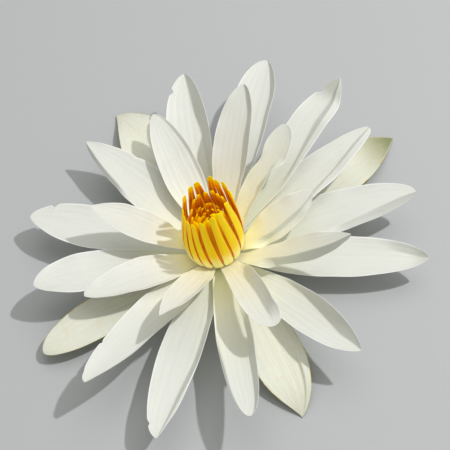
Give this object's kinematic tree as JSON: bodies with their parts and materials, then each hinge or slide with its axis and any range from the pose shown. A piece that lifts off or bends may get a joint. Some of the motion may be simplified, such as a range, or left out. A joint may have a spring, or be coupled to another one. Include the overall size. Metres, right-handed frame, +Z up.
{
  "type": "water lily flower",
  "caption": "Open white water lily bloom with pointed petals, cream sepals and a barrel of yellow stamens, picked with a short stub of stalk and resting flat.",
  "frame": {"origin": "below the middle of the whole flower, on the surface that it rests on", "axes": "+Z up, along the flower's own axis, away from the cut end of the stalk; -Y is the side the picture is taken from"},
  "size_m": [0.1606, 0.1644, 0.0539],
  "materials": {
    "petal": "soft satin petal, white, faintly yellow towards its root",
    "sepal": "soft satin, cream above with a yellow-green edge and tip, green below",
    "stamen": "smooth, waxy, bright yellow outside and orange-ochre inside",
    "pistil": "matte, yellow-green ovary under a yellow stigma",
    "stalk": "matte green stalk with a pale cut end"
  },
  "bodies": {
    "root": {"cut_stalk": "stalk", "pistil": "pistil", "sepal_1": "sepal", "sepal_2": "sepal", "sepal_3": "sepal", "sepal_4": "sepal", "outer_petal_1": "petal", "outer_petal_2": "petal", "outer_petal_3": "petal", "outer_petal_4": "petal", "middle_petal_1": "petal", "middle_petal_2": "petal", "middle_petal_3": "petal", "middle_petal_4": "petal", "middle_petal_5": "petal", "middle_petal_6": "petal", "middle_petal_7": "petal", "middle_petal_8": "petal", "middle_petal_9": "petal", "inner_petal_1": "petal", "inner_petal_2": "petal", "inner_petal_3": "petal", "inner_petal_4": "petal", "inner_petal_5": "petal", "inner_petal_6": "petal", "inner_petal_7": "petal", "inner_petal_8": "petal", "inner_petal_9": "petal", "outer_stamen_1": "stamen", "outer_stamen_2": "stamen", "outer_stamen_3": "stamen", "outer_stamen_4": "stamen", "outer_stamen_5": "stamen", "outer_stamen_6": "stamen", "outer_stamen_7": "stamen", "outer_stamen_8": "stamen", "outer_stamen_9": "stamen", "outer_stamen_10": "stamen", "outer_stamen_11": "stamen", "outer_stamen_12": "stamen", "outer_stamen_13": "stamen", "outer_stamen_14": "stamen", "outer_stamen_15": "stamen", "second_stamen_1": "stamen", "second_stamen_2": "stamen", "second_stamen_3": "stamen", "second_stamen_4": "stamen", "second_stamen_5": "stamen", "second_stamen_6": "stamen", "second_stamen_7": "stamen", "second_stamen_8": "stamen", "second_stamen_9": "stamen", "second_stamen_10": "stamen", "second_stamen_11": "stamen", "second_stamen_12": "stamen", "second_stamen_13": "stamen", "second_stamen_14": "stamen", "second_stamen_15": "stamen", "inner_stamens": "stamen"}
  },
  "joints": []
}
